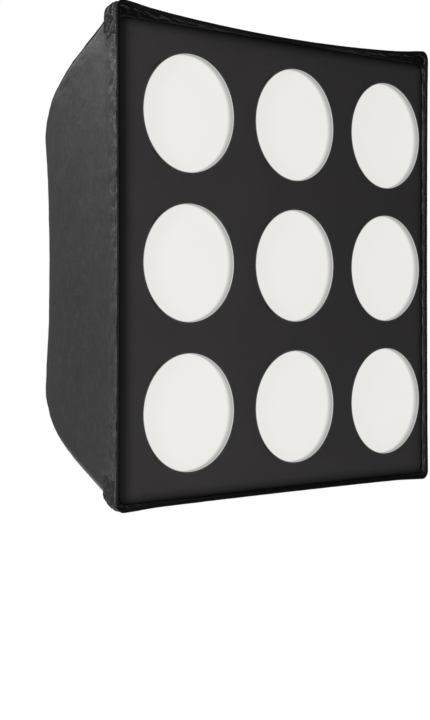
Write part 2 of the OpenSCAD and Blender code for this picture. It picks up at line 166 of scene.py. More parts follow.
class BoxShape:
    """The box as a surface: s is the distance behind the front edge, w runs -1 to 1 along a side."""

    rear_r = 0.126
    rear_s = 0.518
    rear_lean = math.radians(69)
    front_reach = 0.264
    front_slope = 0.465
    rear_reach = 0.300
    binding_out = 0.0012

    def __init__(self, sizes):
        self.half_w = sizes.width / 2 - self.binding_out
        self.half_h = sizes.height / 2 - self.binding_out
        self.corner = sizes.corner_radius
        self.side_dip = sizes.side_dip
        self.corner_peak = sizes.corner_peak
        self.front_dip = tuple(sizes.front_dip)
        diagonal = math.hypot(self.half_w, self.half_h)
        self.share = (self.half_w / diagonal, self.half_h / diagonal)
        self.line = (
            Vector((diagonal, 0)),
            Vector((diagonal - self.front_reach * self.front_slope, self.front_reach)),
            Vector((
                self.rear_r + self.rear_reach * math.sin(self.rear_lean),
                self.rear_s - self.rear_reach * math.cos(self.rear_lean),
            )),
            Vector((self.rear_r, self.rear_s)),
        )

    def rib(self, t):
        """Point (r, s) of the corner line."""
        a, b, c, d = self.line
        u = 1 - t
        return u**3 * a + 3 * u * u * t * b + 3 * u * t * t * c + t**3 * d

    def way(self, t):
        a, b, c, d = self.line
        u = 1 - t
        return (u * u * (b - a) + 2 * u * t * (c - b) + t * t * (d - c)).normalized()

    def layer(self, t, depth):
        """The corner line moved in by a depth at right angles to it."""
        way = self.way(t)
        return self.rib(t) + depth * Vector((-way.y, way.x))

    def t_at(self, s, depth=0.0):
        low, high = 0.0, 1.0
        for _ in range(30):
            middle = (low + high) / 2
            if self.layer(middle, depth).y > s:
                high = middle
            else:
                low = middle
        return (low + high) / 2

    def dip(self, side, s):
        q = min(1.0, max(0.0, s / self.rear_s))
        return self.front_dip[side] * (1 - q) + 4 * self.side_dip * q * (1 - q)

    def along_side(self, side, w, half, radius, bow, peak=0.0):
        """(x, z) at w along one side of a rounded rectangle, drawn out by a peak at its corners."""
        reach, out = (half[0], half[1]) if side % 2 == 0 else (half[1], half[0])
        flat = reach - radius
        p = w * (flat + radius * math.pi / 4)
        pull = peak * math.exp(-((max(0.0, flat - abs(p)) / 0.045) ** 2))
        if abs(p) <= flat:
            p, q = p, out - bow * (1 - (p / flat) ** 2)
        else:
            a = (abs(p) - flat) / radius
            p, q = math.copysign(flat + radius * math.sin(a), p), out - radius + radius * math.cos(a)
        x, z = ((p, q), (q, -p), (-p, -q), (-q, p))[side]
        return x + math.copysign(0.3 * pull, x), z + math.copysign(pull, z)

    def peak(self, s):
        """How far the rods push the corners out near the front edge."""
        return self.corner_peak * math.exp(-((s / 0.05) ** 2))

    def skin(self, side, w, t, depth=0.0):
        """A point of a side panel, or of a layer inside it."""
        r, s = self.layer(t, depth)
        half = (r * self.share[0], r * self.share[1])
        x, z = self.along_side(
            side, w, half, max(0.003, self.corner - depth), self.dip(side, self.rib(t).y), self.peak(s)
        )
        return Vector((x, FRONT_Y + s, z))

    def half_at(self, s):
        r = self.rib(self.t_at(s)).x
        return r * self.share[0], r * self.share[1]

    def edge(self, turn, s, inset):
        """A point of the dipped outline; turn runs 0 to 4 round the sides."""
        side = int(turn) % 4
        w = 2 * (turn - int(turn)) - 1
        hw, hh = self.half_at(s)
        radius = max(0.002, self.corner - inset)
        x, z = self.along_side(
            side, w, (hw - inset, hh - inset), radius, self.dip(side, s), self.peak(s)
        )
        return Vector((x, FRONT_Y + s, z))

    def straight_box(self, s, inset):
        """Half sizes and middle height of the straight outline that clears the dipped edges."""
        hw, hh = self.half_at(s)
        high = hh - inset - self.dip(0, s)
        low = hh - inset - self.dip(2, s)
        return hw - inset - self.dip(1, s), (high + low) / 2, (high - low) / 2

    def straight_edge(self, turn, s, inset):
        side = int(turn) % 4
        w = 2 * (turn - int(turn)) - 1
        hw, hh, middle = self.straight_box(s, inset)
        x, z = self.along_side(side, w, (hw, hh), max(0.002, self.corner - inset), 0)
        return Vector((x, FRONT_Y + s, z + middle))


def shape_of(context):
    return BoxShape(context.scene.softbox_sizes)


def ripple(x, y, z=0.0, octaves=3):
    """Smooth noise between about -1 and 1."""
    return noise.fractal(Vector((x, y, z)), 1.0, 2.1, octaves)


def smooth(low, high, value):
    t = min(1.0, max(0.0, (value - low) / (high - low)))
    return t * t * (3 - 2 * t)


# ---------------------------------------------------------------- making pieces


def finish_piece(name, bm, material, body, replaced=(), shade=True):
    """Turns a bmesh into a piece that rides on a body."""
    mesh = bpy.data.meshes.new(name)
    bm.to_mesh(mesh)
    bm.free()
    if shade:
        mesh.polygons.foreach_set("use_smooth", [True] * len(mesh.polygons))
    piece = bpy.data.objects.new(name, mesh)
    bpy.context.scene.collection.objects.link(piece)
    mesh.materials.append(material)
    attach(piece, body)
    if replaced:
        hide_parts(*replaced)
    return piece


def thicken(piece, thickness, offset=-1.0):
    solid = piece.modifiers.new("thickness", "SOLIDIFY")
    solid.thickness = thickness
    solid.offset = offset
    solid.use_even_offset = True
    return piece


def cloth_grid(columns, rows, place, size, lift=None, flip=False):
    """A sheet placed by place(u, v), with a UV map in metres, raised along its normal by lift(u, v)."""
    bm = bmesh.new()
    uv = bm.loops.layers.uv.new("cloth")
    bmesh.ops.create_grid(bm, x_segments=columns, y_segments=rows, size=0.5, calc_uvs=True)
    where = {v: (v.co.x + 0.5, v.co.y + 0.5) for v in bm.verts}
    for face in bm.faces:
        for loop in face.loops:
            u, v = where[loop.vert]
            loop[uv].uv = (u * size[0], v * size[1])
    for vert, (u, v) in where.items():
        vert.co = place(u, v)
    if flip:
        bmesh.ops.reverse_faces(bm, faces=bm.faces)
    if lift:
        bm.normal_update()
        heights = [(v, v.normal * lift(*where[v])) for v in bm.verts]
        for vert, step in heights:
            vert.co += step
    return bm


def close_ring(bm):
    """Joins the two ends of a sheet that was bent into a ring."""
    bmesh.ops.remove_doubles(bm, verts=bm.verts, dist=FOLD_TOLERANCE)
    bm.normal_update()
    return bm


def profile_at(profile, v):
    """A point between the (s, inset, straight) corners of a profile, at v from 0 to 1."""
    place = v * (len(profile) - 1)
    i = min(int(place), len(profile) - 2)
    f = place - i
    a, b = profile[i], profile[i + 1]
    return tuple(a[k] + (b[k] - a[k]) * f for k in range(3))


def round_the_box(shape, profile, turn, v):
    s, inset, straight = profile_at(profile, v)
    point = shape.edge(turn, s, inset)
    if straight > 0:
        point = point.lerp(shape.straight_edge(turn, s, inset), straight)
    return point


def edge_ring(shape, profile, columns, rows, lift=None, flip=False):
    """A band of cloth that follows the front edge, its section given by a profile of (s, inset, straight)."""
    length = 4 * (shape.half_w + shape.half_h)

    def place(u, v):
        return round_the_box(shape, profile, min(4 * u, 3.999999) if u < 1 else 0.0, v)

    return close_ring(cloth_grid(columns, rows, place, (length, 0.04), lift, flip))


def stitches(points, ways, normals, length=0.0026, width=0.0008, height=0.0006):
    """A row of thread stitches: small pointed lozenges lying on the cloth."""
    bm = bmesh.new()
    for point, way, normal in zip(points, ways, normals):
        across = normal.cross(way).normalized()
        grown = bmesh.ops.create_cone(
            bm, cap_ends=True, segments=6, radius1=0.5, radius2=0.5, depth=1
        )["verts"]
        turn = Matrix((across * width, normal * height, way * length)).transposed().to_4x4()
        bmesh.ops.transform(bm, matrix=Matrix.Translation(point) @ turn, verts=grown)
    return bm


# ---------------------------------------------------------------- shader maths


class Number:
    """A value socket that takes part in Python arithmetic by adding Math nodes."""

    def __init__(self, finish, socket):
        self.finish = finish
        self.socket = socket

    def _with(self, operation, *others):
        values = [o.socket if isinstance(o, Number) else o for o in others]
        return self.finish.math(operation, self.socket, *values)

    def __add__(self, other):
        return self._with("ADD", other)

    __radd__ = __add__

    def __mul__(self, other):
        return self._with("MULTIPLY", other)

    __rmul__ = __mul__

    def __sub__(self, other):
        return self._with("SUBTRACT", other)

    def __rsub__(self, other):
        return self.finish.math("SUBTRACT", other, self.socket)

    def __pow__(self, other):
        return self._with("POWER", other)

    def sine(self):
        return self._with("SINE")

    def absolute(self):
        return self._with("ABSOLUTE")

    def at_least(self, other):
        return self._with("MAXIMUM", other)

    def at_most(self, other):
        return self._with("MINIMUM", other)


class Finish:
    """A material being built from nodes."""

    def __init__(self, name):
        self.material = bpy.data.materials.new(name)
        self.material.use_nodes = True
        self.tree = self.material.node_tree
        self.tree.nodes.clear()
        self.output = self.node("ShaderNodeOutputMaterial")

    def node(self, kind, settings=None, inputs=None):
        made = self.tree.nodes.new(kind)
        for key, value in (settings or {}).items():
            setattr(made, key, value)
        for key, value in (inputs or {}).items():
            if isinstance(value, Number):
                value = value.socket
            if isinstance(value, bpy.types.NodeSocket):
                self.tree.links.new(value, made.inputs[key])
            else:
                made.inputs[key].default_value = value
        return made

    def math(self, operation, *values):
        made = self.node("ShaderNodeMath", {"operation": operation}, dict(enumerate(values)))
        return Number(self, made.outputs[0])

    def object_place(self):
        return self.node("ShaderNodeTexCoord").outputs["Object"]

    def cloth_place(self):
        return self.node("ShaderNodeUVMap", {"uv_map": "cloth"}).outputs["UV"]

    def stretched(self, place, scale):
        return self.node("ShaderNodeMapping", None, {"Vector": place, "Scale": scale}).outputs["Vector"]

    def parts(self, place):
        split = self.node("ShaderNodeSeparateXYZ", None, {"Vector": place})
        return [Number(self, split.outputs[i]) for i in range(3)]

    def noise(self, place, scale, detail=3.0, roughness=0.55):
        inputs = {"Vector": place, "Scale": scale, "Detail": detail, "Roughness": roughness}
        return Number(self, self.node("ShaderNodeTexNoise", None, inputs).outputs["Fac"])

    def cells(self, place, scale):
        made = self.node("ShaderNodeTexVoronoi", None, {"Vector": place, "Scale": scale})
        return Number(self, made.outputs["Distance"])

    def blend(self, factor, first, second):
        made = self.node("ShaderNodeMix", {"data_type": "RGBA"})
        for name, value in (("Factor", factor), ("A", first), ("B", second)):
            socket = made.inputs["Factor"] if name == "Factor" else next(
                s for s in made.inputs if s.name == name and s.type == "RGBA"
            )
            value = value.socket if isinstance(value, Number) else value
            if isinstance(value, bpy.types.NodeSocket):
                self.tree.links.new(value, socket)
            else:
                socket.default_value = value if name == "Factor" else (*value, 1)
        return next(s for s in made.outputs if s.type == "RGBA")

    def bump(self, height, distance, strength=1.0, under=None):
        inputs = {"Height": height, "Distance": distance, "Strength": strength}
        if under is not None:
            inputs["Normal"] = under
        return self.node("ShaderNodeBump", None, inputs).outputs["Normal"]

    def surface(self, **sockets):
        names = {key.replace("_", " "): value for key, value in sockets.items()}
        shader = self.node("ShaderNodeBsdfPrincipled", None, names)
        self.tree.links.new(shader.outputs["BSDF"], self.output.inputs["Surface"])
        return self.material


def shade_of(values, factor):
    return tuple(min(1.0, v * factor) for v in values[:3])


def weave(finish, place, threads, ribs=0.0):
    """Height of a plain weave with so many threads a metre."""
    x, y, _ = finish.parts(place)
    over = (x * (math.tau * threads / 2)).sine() * (y * (math.tau * threads / 2)).sine()
    warp = (x * (math.tau * threads)).sine().absolute()
    weft = (y * (math.tau * threads)).sine().absolute()
    height = over * 0.5 + warp * 0.25 + weft * 0.25
    if ribs:
        height = height + (y * (math.tau * ribs)).sine() * 0.5
    return height


def painted_rim_shadow(f, shape, inset):
    """1 over most of a front sheet, falling over its border, widest at the left: the mask of a painted shadow
    of the rim.
    """
    x, _, z = f.parts(f.object_place())
    hw, hh, middle = shape.straight_box(0.008, inset)
    reach, narrow = 0.036, 2.0
    across = (x + hw).at_most((hw - x) * narrow)
    along = (hh - (z - middle).absolute()) * narrow
    gap = ((reach - across).at_least(0) ** 2 + (reach - along).at_least(0) ** 2) ** 0.5
    return ((reach - gap) * (1 / reach)).at_least(0).at_most(1) ** 0.8


def woven(name, base, roughness, spec, dusty, threads=1400, sheen=0.02, wrinkle=0.0022, border=None, hem=0.0):
    """Tight woven nylon: thread relief, creasing, uneven dye, dust, gathers along a hem so wide with painted
    light and shade besides their bump, and a painted rim shadow over its border when border is given.
    """
    f = Finish(name)
    cloth = f.cloth_place()
    body = f.object_place()
    threads_height = weave(f, cloth, threads)
    crease = f.noise(f.stretched(body, (1.0, 1.0, 1.15)), 20, 5, 0.6)
    fine = f.noise(body, 210, 2, 0.5)
    normal = f.bump(crease, wrinkle, 0.8)
    normal = f.bump(threads_height + fine * 0.6, 0.00012, 0.6, normal)
    patches = f.noise(body, 7, 4, 0.6)
    dust = (f.noise(body, 90, 4, 0.7) - 0.52).at_least(0) * 1.2
    base_colour = f.blend(patches, shade_of(base, 0.86), shade_of(base, 1.16))
    base_colour = f.blend(dust.at_most(0.3) * dusty, base_colour, (0.16, 0.155, 0.15))
    # painted light and shade of the gathers: near the front edge the colour swings from 0.3 to 2.1 times the
    # base with the gathers' noise, on top of their bump
    if hem:
        _, y, _ = f.parts(body)
        near = (1 - (y - FRONT_Y) * (1 / hem)).at_least(0).at_most(1)
        gathers = f.noise(f.stretched(body, (1.0, 1.25, 0.62)), 62, 3, 0.55)
        normal = f.bump(gathers * near, 0.022, 1.0, normal)
        pucker_light_and_shade = ((gathers - 0.5) * 5.0 + 0.42).at_least(0).at_most(1)
        gathered = f.blend(pucker_light_and_shade, shade_of(base, 0.30), shade_of(base, 2.1))
        base_colour = f.blend(near ** 1.3, base_colour, gathered)
    # painted shadow: over its border the sheet darkens to a tenth of its colour, where the rim's shadow falls
    if border:
        base_colour = f.blend(painted_rim_shadow(f, *border), shade_of(base, 0.10), base_colour)
    rough = patches * 0.10 + fine * 0.08 + (roughness - 0.09)
    return f.surface(
        Base_Color=base_colour, Roughness=rough, Normal=normal,
        Sheen_Weight=sheen, Sheen_Roughness=0.45, Sheen_Tint=(0.8, 0.8, 0.82, 1), Specular_IOR_Level=spec,
    )


def coated(name, base, roughness=0.36, spec=0.5):
    """Coated nylon or tape: smoother and glossier, with fine gathers."""
    f = Finish(name)
    cloth = f.cloth_place()
    body = f.object_place()
    gathers = f.noise(f.stretched(cloth, (1.0, 0.25, 1.0)), 260, 3, 0.55)
    threads_height = weave(f, cloth, 1100)
    normal = f.bump(gathers, 0.0006, 0.7)
    normal = f.bump(threads_height, 0.00010, 0.5, normal)
    wear = (f.noise(body, 60, 5, 0.7) - 0.55).at_least(0) * 1.5
    base_colour = f.blend(wear.at_most(0.4), shade_of(base, 1.0), shade_of(base, 3.2))
    rough = gathers * 0.16 + (roughness - 0.08)
    return f.surface(Base_Color=base_colour, Roughness=rough, Normal=normal, Specular_IOR_Level=spec)


def diffuser_cloth(name, base, glow=None):
    """Translucent white nylon: a close weave, faint clouding, soft creases, and a painted glow when glow is
    given.
    """
    f = Finish(name)
    cloth = f.cloth_place()
    body = f.object_place()
    threads_height = weave(f, cloth, 1800)
    crease = f.noise(f.stretched(body, (1.0, 1.0, 0.5)), 14, 3, 0.5)
    normal = f.bump(crease, 0.0008, 0.5)
    normal = f.bump(threads_height, 0.00006, 0.4, normal)
    cloud = f.noise(body, 5, 3, 0.5)
    base_colour = f.blend(cloud, shade_of(base, 0.985), shade_of(base, 1.01))
    rough = cloud * 0.06 + 0.72
    lit = {}
    # painted light: the cloth glows by itself, though no lamp lights it
    if glow:
        lit["Emission_Color"] = f.blend(cloud, shade_of(glow, 0.985), shade_of(glow, 1.01))
        lit["Emission_Strength"] = 1.0
    return f.surface(Base_Color=base_colour, Roughness=rough, Normal=normal, Specular_IOR_Level=0.2, **lit)


def silver_cloth(name, base):
    """Silver-coated lining with a hammered, quilted relief."""
    f = Finish(name)
    body = f.object_place()
    cloth = f.cloth_place()
    dimples = f.cells(cloth, 260)
    crease = f.noise(body, 24, 4, 0.6)
    normal = f.bump(crease, 0.0012, 0.7)
    normal = f.bump(dimples, 0.0004, 0.6, normal)
    # painted shade: the colour follows the crease bump, darker in the troughs and lighter on the crests
    base_colour = f.blend(crease, shade_of(base, 0.9), shade_of(base, 1.06))
    rough = dimples * 0.2 + 0.26
    return f.surface(Base_Color=base_colour, Roughness=rough, Metallic=0.85, Normal=normal)


def fleecy(name, base):
    """Loop tape: a dense pile of tiny loops."""
    f = Finish(name)
    body = f.object_place()
    loops = f.cells(body, 900)
    tufts = f.noise(body, 260, 3, 0.6)
    normal = f.bump(loops + tufts, 0.0005, 0.9)
    base_colour = f.blend(tufts, shade_of(base, 0.7), shade_of(base, 1.8))
    rough = tufts * 0.1 + 0.84
    return f.surface(Base_Color=base_colour, Roughness=rough, Normal=normal, Sheen_Weight=0.5)


def webbing(name, base):
    """Ribbed nylon webbing and elastic."""
    f = Finish(name)
    cloth = f.cloth_place()
    body = f.object_place()
    height = weave(f, cloth, 700, ribs=420)
    crease = f.noise(body, 70, 3, 0.6)
    normal = f.bump(crease, 0.0010, 0.6)
    normal = f.bump(height, 0.00022, 0.7, normal)
    # painted shade: the colour follows the crease bump, darker in the troughs and lighter on the crests
    base_colour = f.blend(crease, shade_of(base, 0.7), shade_of(base, 1.6))
    rough = crease * 0.2 + 0.45
    return f.surface(
        Base_Color=base_colour, Roughness=rough, Normal=normal, Sheen_Weight=0.03, Specular_IOR_Level=0.35
    )


def window_tape(name, base):
    """Binding that looks pale by painted light: a dark cloth that glows, with a painted highlight along its
    rolled front edge and painted shade on the wall, greyest by the mask and lighter towards the diffuser.
    """
    f = Finish(name)
    body = f.object_place()
    _, depth, _ = f.parts(f.cloth_place())
    down = ((depth - 0.0010) * (1 / 0.0125)).at_least(0).at_most(1)
    near = ((depth - 0.0004) * 1500).at_least(0).at_most(1)
    ridges = f.noise(f.stretched(body, (1, 0.2, 1)), 600, 2, 0.5)
    # painted light: the tape glows; its wall's glow is painted shade, darkest by the mask, and its rolled
    # front edge is a painted highlight in colour and glow
    wall = f.blend(down, shade_of(base, 0.035), shade_of(base, 0.05))
    base_colour = f.blend(near, shade_of(base, 0.09), wall)
    wall_glow = f.blend(down ** 1.6, (0.27, 0.27, 0.27), (0.68, 0.68, 0.66))
    glow = f.blend(near, (0.36, 0.36, 0.35), wall_glow)
    rough = ridges * 0.1 + 0.6
    return f.surface(
        Base_Color=base_colour, Roughness=rough, Normal=f.bump(ridges, 0.0003, 0.5),
        Emission_Color=glow, Emission_Strength=1.0,
    )


def thread(name, base):
    f = Finish(name)
    body = f.object_place()
    twist = f.noise(body, 1500, 2, 0.5)
    base_colour = f.blend(twist, shade_of(base, 0.7), shade_of(base, 1.4))
    return f.surface(Base_Color=base_colour, Roughness=twist * 0.1 + 0.5, Normal=f.bump(twist, 0.0001, 0.6))


def coated_metal(name, base, roughness=0.42):
    """Powder-coated or anodised metal: orange-peel relief and worn patches."""
    f = Finish(name)
    body = f.object_place()
    peel = f.noise(body, 900, 3, 0.5)
    rub = (f.noise(body, 38, 5, 0.7) - 0.56).at_least(0) * 2.2
    base_colour = f.blend(rub.at_most(0.5), shade_of(base, 1.0), shade_of(base, 2.6))
    rough = peel * 0.14 + (roughness - 0.07)
    return f.surface(
        Base_Color=base_colour, Roughness=rough, Metallic=0.35, Normal=f.bump(peel, 0.00008, 0.6)
    )


def turned_metal(name, base, roughness=0.3, along="XZ"):
    """Bare metal with turning or drawing lines."""
    f = Finish(name)
    body = f.object_place()
    x, y, z = f.parts(body)
    rings = (x * x + z * z) ** 0.5 if along == "XZ" else y
    lines = (rings * 9000).sine() * 0.5 + 0.5
    smudge = f.noise(body, 55, 4, 0.6)
    base_colour = f.blend(smudge, shade_of(base, 0.82), shade_of(base, 1.1))
    rough = smudge * 0.2 + (roughness - 0.1)
    return f.surface(
        Base_Color=base_colour, Roughness=rough, Metallic=1.0, Normal=f.bump(lines, 0.00003, 0.4)
    )


def moulded(name, base, roughness=0.5):
    """Moulded plastic or rubber with a fine spark-eroded grain."""
    f = Finish(name)
    body = f.object_place()
    grain = f.noise(body, 1400, 3, 0.6)
    polish = f.noise(body, 40, 4, 0.6)
    base_colour = f.blend(polish, shade_of(base, 0.85), shade_of(base, 1.3))
    rough = grain * 0.16 + polish * 0.12 + (roughness - 0.14)
    return f.surface(Base_Color=base_colour, Roughness=rough, Normal=f.bump(grain, 0.00012, 0.6))


FINISHES = {}


def finish_for(context, name):
    """Each finish is made once and shared."""
    tint = context.scene.softbox_colours
    makers = {
        # the shell's 55 mm band along the front edge gets painted light and shade of its gathers
        "shell": lambda: woven("shell_nylon", tint.shell, roughness=0.50, spec=0.17, dusty=0.22, hem=0.055),
        # the mask gets a painted shadow of the rim over its border
        "mask": lambda: woven(
            "mask_nylon", tint.mask, roughness=0.72, spec=0.10, dusty=0.03, threads=1700, sheen=0.0,
            wrinkle=0.0002, border=(shape_of(context), context.scene.softbox_mask.inset),
        ),
        "lip": lambda: coated("lip_nylon", shade_of(tint.trim, 0.4), 0.34, 0.15),
        "binding": lambda: coated("edge_tape", shade_of(tint.trim, 0.35), 0.60, 0.07),
        "patch": lambda: coated("patch_nylon", shade_of(tint.shell, 0.95), 0.48, 0.12),
        "webbing": lambda: webbing("black_webbing", shade_of(tint.trim, 1.2)),
        "loop": lambda: fleecy("loop_tape", tint.trim),
        # painted light: the front diffuser's own colour is cut to 5%, and a glow of 92.5% of the diffuser
        # colour makes it white
        "diffuser": lambda: diffuser_cloth(
            "diffuser_nylon_painted_glow", shade_of(tint.diffuser, 0.05), shade_of(tint.diffuser, 0.925)
        ),
        "baffle": lambda: diffuser_cloth("baffle_nylon", shade_of(tint.diffuser, 0.98)),
        "silver": lambda: silver_cloth("silver_lining", tint.silver),
        # the tape's pale look is painted glow; its own colour is a few percent of this
        "window": lambda: window_tape("window_tape", (0.80, 0.80, 0.78)),
        "black_thread": lambda: thread("black_thread", (0.022, 0.022, 0.023)),
    }
    if name not in FINISHES:
        FINISHES[name] = makers[name]()
    return FINISHES[name]


# ---------------------------------------------------------------- pieces


PANEL_FRONT = 0.0050
LINING_FRONT = 0.047
LINING_CUT = 0.62
LINING_DEPTH = 0.0040
LINING_THICK = 0.0005
DIFFUSER_THICK = 0.0006
HEM_THICK = 0.0010
ROD_INSET = 0.015
TAPER = {"panel": 0.62, "lining": 0.60}


def panel_crease(shape, side, w, t, height):
    """How far a side panel stands out or in: hem puckers, drag lines and the corner seams' ridges."""
    s = shape.rib(t).y
    half = shape.half_at(s)[0 if side % 2 == 0 else 1]
    along = w * half
    hem = math.exp(-((s / 0.034) ** 2))
    gathered = ripple(along * 40, s * 120 + along * 14, side * 7.1, 3) * 0.55
    slanted = ripple(along * 62 + s * 45, s * 38 - along * 16, side * 3.3, 3) * 0.6
    drag = ripple(along * 9 + s * 14, s * 7 - along * 12, side * 5.7, 4) * 0.7
    drag += (1 - abs(ripple(along * 5 - s * 9, s * 6, side * 2.3, 2)) * 3) * 0.25
    slack = ripple(along * 3.1, s * 2.7, side * 11.3, 2)
    near_corner = smooth(0.80, 0.98, abs(w))
    rays = ripple(along * 34, (s + abs(along)) * 9, side * 2.9, 3)
    seam = math.exp(-(((1 - abs(w)) * half / 0.0022) ** 2))
    rear = smooth(1.0, 0.93, t)
    return rear * height * (
        1.5 * hem * (gathered + slanted) + 0.42 * drag + 0.5 * slack + 0.4 * near_corner * rays
    ) + 0.0007 * seam


class SOFTBOX_OT_outer_panels(bpy.types.Operator):
    """Sews the four outer side panels"""

    bl_idname = "softbox.outer_panels"
    bl_label = "Outer panels"

    def execute(self, context):
        shape = shape_of(context)
        sizes = context.scene.softbox_sizes
        first = shape.t_at(PANEL_FRONT)
        for side, name in enumerate(SIDES):
            span = 2 * (shape.half_w if side % 2 == 0 else shape.half_h)

            def place(u, v):
                t = first + (1 - first) * v
                return shape.skin(side, 2 * u - 1, t)

            def lift(u, v):
                t = first + (1 - first) * v
                return panel_crease(shape, side, 2 * u - 1, t, sizes.crease)

            bm = cloth_grid(180, 130, place, (span, 0.62), lift)
            piece = finish_piece(
                f"cloth_panel_{name}", bm, finish_for(context, "shell"), "box",
                [f"panel_{name}"],
            )
            thicken(piece, sizes.cloth)
        return {"FINISHED"}


class SOFTBOX_OT_linings(bpy.types.Operator):
    """Sews the silver lining of each side"""

    bl_idname = "softbox.linings"
    bl_label = "Linings"

    def execute(self, context):
        shape = shape_of(context)
        first = shape.t_at(LINING_FRONT)
        for side, name in enumerate(SIDES):
            span = 2 * (shape.half_w if side % 2 == 0 else shape.half_h)

            def place(u, v):
                return shape.skin(side, 2 * u - 1, first + (1 - first) * v, LINING_DEPTH)

            def lift(u, v):
                s = shape.rib(first + (1 - first) * v).y
                along = (2 * u - 1) * span / 2
                calm = smooth(0, 0.06, v) * smooth(1, 0.94, v) * smooth(0, 0.03, u) * smooth(1, 0.97, u)
                return 0.0007 * calm * (ripple(along * 16, s * 11, side * 4.4, 4) - 0.2)

            bm = cloth_grid(90, 70, place, (span, 0.58), lift, flip=True)
            piece = finish_piece(
                f"cloth_lining_{name}", bm, finish_for(context, "silver"), "box",
                [f"lining_{name}"],
            )
            thicken(piece, LINING_THICK)
            width = span * 0.95
            TAPER["lining"] * width * LINING_CUT
        return {"FINISHED"}


def corner_rise(turn):
    """1 at the box's corners, 0 along the middle of its sides."""
    w = 2 * (turn - int(turn)) - 1
    return smooth(0.55, 1.0, abs(w))


class SOFTBOX_OT_front_edge(bpy.types.Operator):
    """Folds the lip, binds the edge and lays the loop tape"""

    bl_idname = "softbox.front_edge"
    bl_label = "Front edge"

    lip = ((3.0, 4.4, 0), (5.0, 4.2, 0.35), (6.6, 3.4, 1), (10.4, 3.0, 1), (20.0, 2.9, 0.2), (40.0, 2.9, 0))
    tape_section = 14
    stitch_pitch = 0.0065

    def execute(self, context):
        shape = shape_of(context)
        length = 4 * (shape.half_w + shape.half_h)
        lip = [(s * MM, inset * MM, k) for s, inset, k in self.lip]

        def gathers(u, v):
            turn = min(4 * u, 3.999)
            fade = smooth(0.0, 0.10, v) * smooth(0.50, 0.30, v)
            folds = ripple(turn * 46, v * 5, 1.7, 3)
            return fade * 0.0014 * folds * (0.7 + 1.3 * corner_rise(turn))

        bm = edge_ring(shape, lip, 1200, 30, gathers, flip=True)
        piece = finish_piece(
            "cloth_front_lip", bm, finish_for(context, "lip"), "box", ["front_lip"]
        )
        thicken(piece, 0.0008)

        def tape(u, v):
            turn = min(4 * u, 3.999999) if u < 1 else 0.0
            a = math.tau * v
            stitched = math.sin(math.tau * turn / 4 * length / self.stitch_pitch)
            pucker = 1 + 0.05 * stitched + 0.06 * ripple(turn * 30, v, 9.1)
            s = 0.0029 - 0.0028 * math.cos(a) * pucker
            inset = 0.0016 - 0.0029 * math.sin(a) * pucker
            return shape.edge(turn, max(s, 0.0001), inset)

        bm = close_ring(cloth_grid(1400, self.tape_section, tape, (length, 0.018)))
        bmesh.ops.recalc_face_normals(bm, faces=bm.faces)
        finish_piece(
            "bound_edge", bm, finish_for(context, "binding"), "box", ["edge_binding"]
        )

        strip = [(s * MM, i * MM, k) for s, i, k in ((20.5, 3.3, 0.1), (25, 4.0, 0.1), (30, 3.3, 0.1))]
        bm = edge_ring(shape, strip, 500, 6, flip=True)
        piece = finish_piece(
            "soft_loop_strip", bm, finish_for(context, "loop"), "box", ["loop_strip"]
        )
        thicken(piece, 0.0008)
        return {"FINISHED"}


class SOFTBOX_OT_edge_stitching(bpy.types.Operator):
    """Stitches the binding to the panels"""

    bl_idname = "softbox.edge_stitching"
    bl_label = "Edge stitching"

    def execute(self, context):
        shape = shape_of(context)
        points, ways, normals = [], [], []
        count = 640
        for i in range(count):
            turn = 4 * i / count
            here = shape.edge(turn, 0.0085, -0.0002)
            there = shape.edge((turn + 0.002) % 4, 0.0085, -0.0002)
            behind = shape.edge(turn, 0.0105, -0.0002)
            way = (there - here).normalized()
            points.append(here)
            ways.append(way)
            normals.append(way.cross(behind - here).normalized())
        bm = stitches(points, ways, normals)
        finish_piece("edge_stitching", bm, finish_for(context, "black_thread"), "box", shade=False)
        return {"FINISHED"}


class SOFTBOX_OT_corner_patches(bpy.types.Operator):
    """Folds the reinforced corner over each rod's tip"""

    bl_idname = "softbox.corner_patches"
    bl_label = "Corner patches"

    reach = 0.052
    front = 0.006
    depth = 0.058
    cut_depth = 0.062

    def execute(self, context):
        shape = shape_of(context)
        for corner, name in enumerate(CORNERS):
            before = (corner - 1) % 4

            def place(u, v):
                s = self.front + self.depth * v
                hw, hh = shape.half_at(s)
                across = self.reach * (1 - 0.25 * v) * (2 * u - 1)
                side, half = (corner, (hw, hh)) if u >= 0.5 else (before, (hw, hh))
                reach = half[0] if side % 2 == 0 else half[1]
                edge = reach - shape.corner + shape.corner * math.pi / 4
                w = (abs(across) / edge - 1) if u >= 0.5 else (1 - abs(across) / edge)
                x, z = shape.along_side(side, w, half, shape.corner, shape.dip(side, s), shape.peak(s))
                return Vector((x, FRONT_Y + s, z))

            def lift(u, v):
                hump = math.exp(-(((u - 0.5) / 0.26) ** 2)) * math.exp(-(((v - 0.42) / 0.34) ** 2))
                ragged = 0.16 * ripple(u * 6, v * 3, 4.4 + corner, 3)
                sides = smooth(0, 0.10, u) * smooth(1, 0.90, u)
                edges = sides * smooth(0, 0.06, v) * smooth(0.98, 0.72, v + ragged)
                folds = ripple((u - 0.5) * 7 + v * 3, v * 6 + corner, corner * 1.9, 3)
                sharp = 1 - abs(ripple((u - 0.5) * 11 - v * 5, v * 9, corner * 2.7, 2)) * 2
                return -0.0016 + edges * (
                    0.0022 + 0.0066 * hump + 0.0030 * folds * (0.5 + hump) + 0.0016 * sharp * (0.3 + hump)
                )

            bm = cloth_grid(80, 64, place, (2 * self.reach, 0.06), lift)
            piece = finish_piece(
                f"folded_corner_{name}", bm, finish_for(context, "patch"), "box",
                [f"corner_patch_{name}"],
            )
            thicken(piece, 0.0009)
        return {"FINISHED"}


